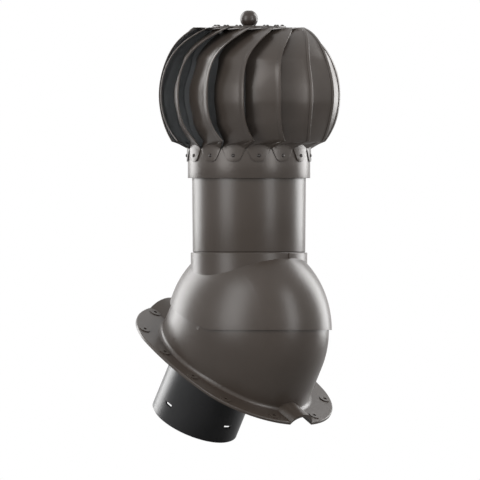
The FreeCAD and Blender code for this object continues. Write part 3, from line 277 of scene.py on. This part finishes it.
def addWorld():
    world = bpy.data.worlds.new("studioWorld")
    world.use_nodes = True
    bpy.context.scene.world = world
    tree = world.node_tree
    background = tree.nodes["Background"]
    background.inputs["Color"].default_value = (1, 1, 1, 1)
    rays = tree.nodes.new("ShaderNodeLightPath")
    seen = tree.nodes.new("ShaderNodeMath")
    seen.operation = "MAXIMUM"
    tree.links.new(rays.outputs["Is Camera Ray"], seen.inputs[0])
    tree.links.new(rays.outputs["Is Glossy Ray"], seen.inputs[1])
    seenThrough = tree.nodes.new("ShaderNodeMath")
    seenThrough.operation = "MAXIMUM"
    tree.links.new(seen.outputs["Value"], seenThrough.inputs[0])
    tree.links.new(rays.outputs["Is Transmission Ray"], seenThrough.inputs[1])
    strength = tree.nodes.new("ShaderNodeMapRange")
    strength.inputs["To Min"].default_value = studio["ambient"]
    strength.inputs["To Max"].default_value = studio["background"]
    tree.links.new(seenThrough.outputs["Value"], strength.inputs["Value"])
    tree.links.new(strength.outputs["Result"], background.inputs["Strength"])


# Mesh helpers. Angles are in degrees.

joinWithin = 0.002 * mm
spinJoinWithin = 0.001 * mm


def finishPiece(name, mesh, body, paint, replaced=(), sharp=35):
    bmesh.ops.remove_doubles(mesh, verts=mesh.verts, dist=joinWithin)
    data = bpy.data.meshes.new(name)
    mesh.to_mesh(data)
    mesh.free()
    return finishData(name, data, body, paint, replaced, sharp)


def finishData(name, data, body, paint, replaced=(), sharp=35):
    data.shade_smooth()
    data.set_sharp_from_angle(angle=math.radians(sharp))
    if not data.materials:      # a vane brings its two
        data.materials.append(paints[paint])
    piece = bpy.data.objects.new(name, data)
    bpy.context.scene.collection.objects.link(piece)
    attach(piece, body)
    if replaced:
        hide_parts(*replaced)
    return piece


def spinOutline(outline, steps=128):
    # the outline is closed, and given as pairs of radius and height
    mesh = bmesh.new()
    verts = [mesh.verts.new((radius, 0, height)) for radius, height in outline]
    edges = [mesh.edges.new((verts[i - 1], verts[i])) for i in range(len(verts))]
    bmesh.ops.spin(mesh, geom=verts + edges, cent=(0, 0, 0), axis=(0, 0, 1), angle=2 * math.pi,
                   steps=steps, use_merge=True)
    bmesh.ops.remove_doubles(mesh, verts=mesh.verts, dist=spinJoinWithin)
    bmesh.ops.recalc_face_normals(mesh, faces=mesh.faces)
    return mesh


def roundSharpEdges(mesh, width, angle=30, segments=3):
    limit = math.radians(angle)
    sharp = [edge for edge in mesh.edges if edge.is_manifold and edge.calc_face_angle() > limit]
    bmesh.ops.bevel(mesh, geom=sharp, offset=width, affect="EDGES", segments=segments, profile=0.5,
                    material=-1, clamp_overlap=True)


def moveMesh(mesh, x, y, z):
    bmesh.ops.translate(mesh, verts=mesh.verts, vec=(x, y, z))


def everything(mesh):
    return mesh.verts[:] + mesh.edges[:] + mesh.faces[:]


def repeatRound(mesh, count):
    bmesh.ops.spin(mesh, geom=everything(mesh), cent=(0, 0, 0), axis=(0, 0, 1),
                   angle=2 * math.pi * (count - 1) / count, steps=count - 1, use_duplicate=True)


def closeHoles(mesh):
    bmesh.ops.holes_fill(mesh, edges=[edge for edge in mesh.edges if edge.is_boundary], sides=0)


print("helpers ready")


# Neck pipe, with a shadow groove just above the hood's socket

neck = {"taper": 1.0 * mm, "wall": 2.4 * mm, "edge": 0.5 * mm, "seated": 5.2 * mm, "groove": 1.0 * mm,
        "grooveDepth": 0.7 * mm}


def makeNeck():
    low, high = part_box("neck_pipe")
    top = (high.x - low.x) / 2
    bottom = top - neck["taper"]
    bore = top - neck["wall"] - neck["taper"] / 2
    socket = low.z + neck["seated"]
    inset = bottom - neck["grooveDepth"]
    mesh = spinOutline([
        (bore, low.z), (inset, low.z), (inset, socket + neck["groove"]), (bottom, socket + neck["groove"]),
        (top, high.z), (bore, high.z)])
    roundSharpEdges(mesh, neck["edge"])
    moveMesh(mesh, axisX, 0, 0)
    finishPiece("neckPipe", mesh, "hood", "hoodPaint", ["neck_pipe"])


# Rotor collar

collar = {"sheet": 0.8 * mm, "edge": 0.3 * mm, "edgeSteps": 2, "sides": 180}


def makeCollar():
    low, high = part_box("rotor_collar")
    outer = (high.x - low.x) / 2
    inner = outer - collar["sheet"]
    mesh = spinOutline([(inner, low.z), (outer, low.z), (outer, high.z), (inner, high.z)], collar["sides"])
    roundSharpEdges(mesh, collar["edge"], segments=collar["edgeSteps"])
    moveMesh(mesh, axisX, 0, 0)
    finishPiece("rotorCollar", mesh, "rotor", "vanePaint", ["rotor_collar"])


# Vanes: one sheet, in the frame of the turbine's equator with +X at its bottom rivet, then turned copies.
# Lengths are in millimetres and angles in degrees.

vane = {
    "firstRivet": 13.75,
    "sheet": 0.8,
    "edge": 0.22,
    "edgeSteps": 2,
    "width": 45.0,
    "sideCentre": 9.7,            # of the side view's arc, from the axis
    "sideRadius": 101.8,
    "freeAngle": 11.5,            # free edge ahead of the rivet, at the equator
    "twistTop": 29.5,             # further ahead at the top bend and the bottom corner
    "twistBottom": 7.3,
    "twistTopPower": 4,
    "twistBottomPower": 3.4,
    "tuckedAngle": -12.0,
    "steepest": 80.0,             # of the strip to the circle about the axis
    "camber": 2.0,                # how far the strip bows outward
    "corner": -56.3,
    "bendHeight": 82.9,
    "bendRadius": 64.9,
    "bendHalf": 20.6,
    "bendLean": 5.3,
    "hemWidth": 4.0,              # folded edge, on the outer face
    "hemProud": 0.8,
    "hemStep": 0.25,
    "rowsUp": 44,
    "columns": 10,
    "footRows": 4,
    "tabRows": 4,
    "seat": 75.75,                # outer face of a bottom tab, from the axis
    "tabHalfAngle": 11.4,
    "archSide": -66.0,            # the arched bend over a bottom tab
    "archRise": 5.3,
    "tabTip": 8.6,
    "tabBottom": -81.5,
    "tabRound": 3.0,
    "tabLift": 0.6,               # of the tab's tip off the collar
    # rows of the top tab, from the bend inwards: distance from the axis, half-width, share of the bend's lean
    "topTab": [(58.0, 13.5, 0.7), (52.0, 7.0, 0.4), (46.0, 7.0, 0), (38.5, 7.0, 0), (36.2, 6.0, 0),
               (35.5, 4.0, 0)],
    "bevelAbove": 50,
    "sharpAbove": 40,
}


def polar(radius, degrees, height):
    angle = math.radians(degrees)
    return Vector((radius * math.cos(angle), radius * math.sin(angle), height))


def stripEnds(height):
    outer = vane["sideCentre"] + math.sqrt(vane["sideRadius"] ** 2 - height ** 2)
    if height > 0:
        twist = vane["twistTop"] * (height / vane["bendHeight"]) ** vane["twistTopPower"]
    else:
        twist = vane["twistBottom"] * (height / vane["corner"]) ** vane["twistBottomPower"]
    free = vane["freeAngle"] + twist
    share = math.sin(math.radians(vane["steepest"])) * vane["width"] / outer
    span = min(free - vane["tuckedAngle"], math.degrees(math.asin(min(1, share))))
    reach = outer * math.sin(math.radians(span))
    inner = outer * math.cos(math.radians(span)) - math.sqrt(vane["width"] ** 2 - reach ** 2)
    return polar(inner, free - span, height), polar(outer, free, height)


def bendEnds():
    lean, half = math.radians(vane["bendLean"]), vane["bendHalf"]
    across = polar(half * math.cos(lean), math.degrees(vaneStep) + 90, 0)
    lift = Vector((0, 0, half * math.sin(lean)))
    middle = polar(vane["bendRadius"], math.degrees(vaneStep), vane["bendHeight"]) - lift
    return middle - across - lift, middle + across + lift


def stripShares():
    plain = 1 - vane["hemWidth"] / vane["width"]
    step = vane["hemStep"] / vane["width"]
    shares = [(plain * i / vane["columns"], 0) for i in range(vane["columns"] + 1)]
    return shares + [(plain + step, vane["hemProud"]), (1 - step, vane["hemProud"]),
                     (1, vane["hemProud"] - vane["hemStep"]), (1, -vane["hemProud"])]


def bladeRows():
    low, high = vane["corner"], vane["bendHeight"]
    ends = [stripEnds(low + (high - low) * row / vane["rowsUp"]) for row in range(vane["rowsUp"])]
    ends.append(bendEnds())
    rows = []
    for number, (tucked, free) in enumerate(ends):
        before, after = ends[max(number - 1, 0)], ends[min(number + 1, len(ends) - 1)]
        along = after[0] + after[1] - before[0] - before[1]
        outward = (free - tucked).cross(along).normalized()
        up = number / vane["rowsUp"]
        row = []
        for share, proud in stripShares():
            bow = vane["camber"] * 4 * share * (1 - share) * (1 - up ** 3)
            row.append(tucked.lerp(free, share) + outward * (bow + proud * (up < 1)))
        rows.append(row)
    return rows


def evenShares():
    count = len(stripShares())
    return [i / (count - 1) for i in range(count)]


def archPoint(share):
    side = 2 * share - 1
    height = vane["archSide"] + vane["archRise"] * (1 - side ** 2)
    return polar(vane["seat"], vane["tabHalfAngle"] * side, height)


def tabRows():
    rows = []
    tip = math.degrees(math.asin(vane["tabTip"] / vane["seat"]))
    for number in range(vane["tabRows"]):
        up = number / vane["tabRows"]
        row = []
        for share in evenShares():
            side = 2 * share - 1
            top = archPoint(share).z
            bottom = vane["tabBottom"] + vane["tabRound"] * abs(side) ** 3
            angle = side * (tip + (vane["tabHalfAngle"] - tip) * up)
            row.append(polar(vane["seat"] + vane["tabLift"] * (1 - up), angle, bottom + (top - bottom) * up))
        rows.append(row)
    return rows


def footRows(corner):
    rows = []
    for number in range(vane["footRows"]):
        up = number / vane["footRows"]
        rows.append([archPoint(share).lerp(point, up) for share, point in zip(evenShares(), corner)])
    return rows


def topTabRows():
    rows = []
    for radius, half, lean in vane["topTab"]:
        turned = math.radians(vane["bendLean"] * lean)
        drop = vane["bendHalf"] * math.sin(math.radians(vane["bendLean"])) * lean
        across = polar(half * math.cos(turned), math.degrees(vaneStep) + 90, 0)
        lift = Vector((0, 0, half * math.sin(turned)))
        middle = polar(radius, math.degrees(vaneStep), vane["bendHeight"] - drop)
        rows.append([middle + (across + lift) * (2 * share - 1) for share in evenShares()])
    return rows


def vaneData():
    blade = bladeRows()
    rows = tabRows() + footRows(blade[0]) + blade + topTabRows()
    mesh = bmesh.new()
    across, up = len(rows[0]) - 1, len(rows) - 1
    bmesh.ops.create_grid(mesh, x_segments=across, y_segments=up, size=1)
    for vert in mesh.verts:
        column = round((vert.co.x + 1) / 2 * across)
        row = round((vert.co.y + 1) / 2 * up)
        vert.co = rows[row][column] * mm
    data = bpy.data.meshes.new("vaneSheet")
    mesh.to_mesh(data)
    mesh.free()
    return bakeSheet(data)


def bakeSheet(data):
    data.materials.append(paints["vanePaint"])
    data.materials.append(paints["backCoatAndPaintedLight"])      # the grey back of coated sheet, seen inside, made lighter as painted light
    sheet = bpy.data.objects.new("vaneSheet", data)
    bpy.context.scene.collection.objects.link(sheet)
    wall = sheet.modifiers.new("wall", "SOLIDIFY")
    wall.thickness = vane["sheet"] * mm
    wall.offset = -1
    wall.use_even_offset = True
    wall.material_offset = 1
    edge = sheet.modifiers.new("edge", "BEVEL")
    edge.width = vane["edge"] * mm
    edge.segments = vane["edgeSteps"]
    edge.limit_method = "ANGLE"
    edge.angle_limit = math.radians(vane["bevelAbove"])
    baked = bpy.data.meshes.new_from_object(sheet.evaluated_get(bpy.context.evaluated_depsgraph_get()))
    bpy.data.objects.remove(sheet)
    return baked


def makeVanes():
    master = vaneData()
    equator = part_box(vaneNames[0])[1].z - vane["bendHeight"] * mm
    for number, name in enumerate(vaneNames):
        data = master.copy()
        turn = math.radians(vane["firstRivet"]) + number * vaneStep
        data.transform(Matrix.Translation((axisX, 0, equator)) @ Matrix.Rotation(turn, 4, "Z"))
        finishData("turbineVane%02d" % (number + 1), data, "rotor", "vanePaint", [name],
                   vane["sharpAbove"])
    return equator


# Rivets of the rotor: domed heads

rivet = {"radius": 2.3 * mm, "height": 1.8 * mm, "seat": 76.0 * mm, "drop": -74.0 * mm,
         "topCircle": 41.6 * mm, "around": 24, "rings": 16, "sharpAbove": 50}


def rivetHead():
    curve = (rivet["radius"] ** 2 + rivet["height"] ** 2) / (2 * rivet["height"])
    mesh = bmesh.new()
    bmesh.ops.create_uvsphere(mesh, u_segments=rivet["around"], v_segments=rivet["rings"], radius=curve)
    moveMesh(mesh, 0, 0, rivet["height"] - curve)
    bmesh.ops.bisect_plane(mesh, geom=everything(mesh), plane_co=(0, 0, 0), plane_no=(0, 0, 1),
                           clear_inner=True)
    closeHoles(mesh)
    return mesh


def makeRivets(equator):
    turn = Matrix.Rotation(math.radians(vane["firstRivet"]), 4, "Z")
    side = rivetHead()
    stand = Matrix.Translation((rivet["seat"], 0, 0)) @ Matrix.Rotation(math.pi / 2, 4, "Y")
    bmesh.ops.transform(side, matrix=turn @ stand, verts=side.verts)
    repeatRound(side, len(vaneNames))
    moveMesh(side, axisX, 0, equator + rivet["drop"])
    finishPiece("collarRivetHeads", side, "rotor", "rivetPaint", ["collar_rivets"],
                rivet["sharpAbove"])
    top = rivetHead()
    bmesh.ops.transform(top, matrix=turn @ Matrix.Translation((rivet["topCircle"], 0, 0)), verts=top.verts)
    repeatRound(top, len(vaneNames))
    moveMesh(top, axisX, 0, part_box("top_rivets")[0].z)
    finishPiece("topRivetHeads", top, "rotor", "rivetPaint", ["top_rivets"],
                rivet["sharpAbove"])


# Top plate, with a pressed ring, and the ball nut on it

plate = {"bore": 4.05 * mm, "edge": 0.4 * mm, "edgeAngle": 15, "ringInner": 22.0 * mm,
         "ringOuter": 27.0 * mm, "ringRise": 0.5 * mm, "ringSlope": 1.5 * mm}


def makePlate():
    low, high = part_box("top_plate")
    outer = (high.x - low.x) / 2
    crest = high.z + plate["ringRise"]
    slope = plate["ringSlope"]
    mesh = spinOutline([
        (plate["bore"], low.z), (outer, low.z), (outer, high.z), (plate["ringOuter"] + slope, high.z),
        (plate["ringOuter"], crest), (plate["ringInner"], crest), (plate["ringInner"] - slope, high.z),
        (plate["bore"], high.z)])
    roundSharpEdges(mesh, plate["edge"], plate["edgeAngle"])
    moveMesh(mesh, axisX, 0, 0)
    finishPiece("topPlate", mesh, "rotor", "vanePaint", ["top_plate"])


ball = {"radius": 10.9 * mm, "centre": 8.6 * mm, "flatEdge": 0.6 * mm, "flatAngle": 20, "around": 72,
        "rings": 48, "sharpAbove": 40}


def makeBall():
    low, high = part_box("ball_nut")
    mesh = bmesh.new()
    bmesh.ops.create_uvsphere(mesh, u_segments=ball["around"], v_segments=ball["rings"],
                              radius=ball["radius"])
    moveMesh(mesh, axisX, 0, low.z + ball["centre"])
    for height, normal in ((high.z, 1), (low.z, -1)):
        bmesh.ops.bisect_plane(mesh, geom=everything(mesh), plane_co=(0, 0, height),
                               plane_no=(0, 0, normal), clear_outer=True)
    closeHoles(mesh)
    roundSharpEdges(mesh, ball["flatEdge"], ball["flatAngle"])
    finishPiece("ballNut", mesh, "rotor", "ballPaint", ["ball_nut"], ball["sharpAbove"])


# Pieces that keep their CAD shape

plainPieces = {
    "hoodPaint": ["base_shell", "hood_shell"],
    "spigotPlastic": ["spigot_pipe"],
    "rubber": ["base_gasket", "spigot_seal"],
    "zincSteel": ["bearing_bracket", "bearing_housing", "top_washer"],
    "rivetPaint": ["bracket_rivets"],
    "brightSteel": ["bearing_circlips", "upper_outer_ring", "lower_outer_ring", "upper_inner_ring",
                    "lower_inner_ring", "shaft", "bearing_spacer", "bearing_lock_nut", "top_lock_nut"],
}


def paintPlainPieces():
    for paint, nodes in plainPieces.items():
        for node in nodes:
            piece = frame["nodes"][node]
            if not piece.material_slots:
                piece.data.materials.append(None)
            for slot in piece.material_slots:
                slot.material = paints[paint]


addLights(*addCamera())
addWorld()
addFloor()
print("studio ready")
makeNeck()
print("neck made")
makeCollar()
equatorHeight = makeVanes()
makeRivets(equatorHeight)
makePlate()
makeBall()
print("turbine made")
paintPlainPieces()

bpy.context.scene.view_settings.view_transform = "Standard"
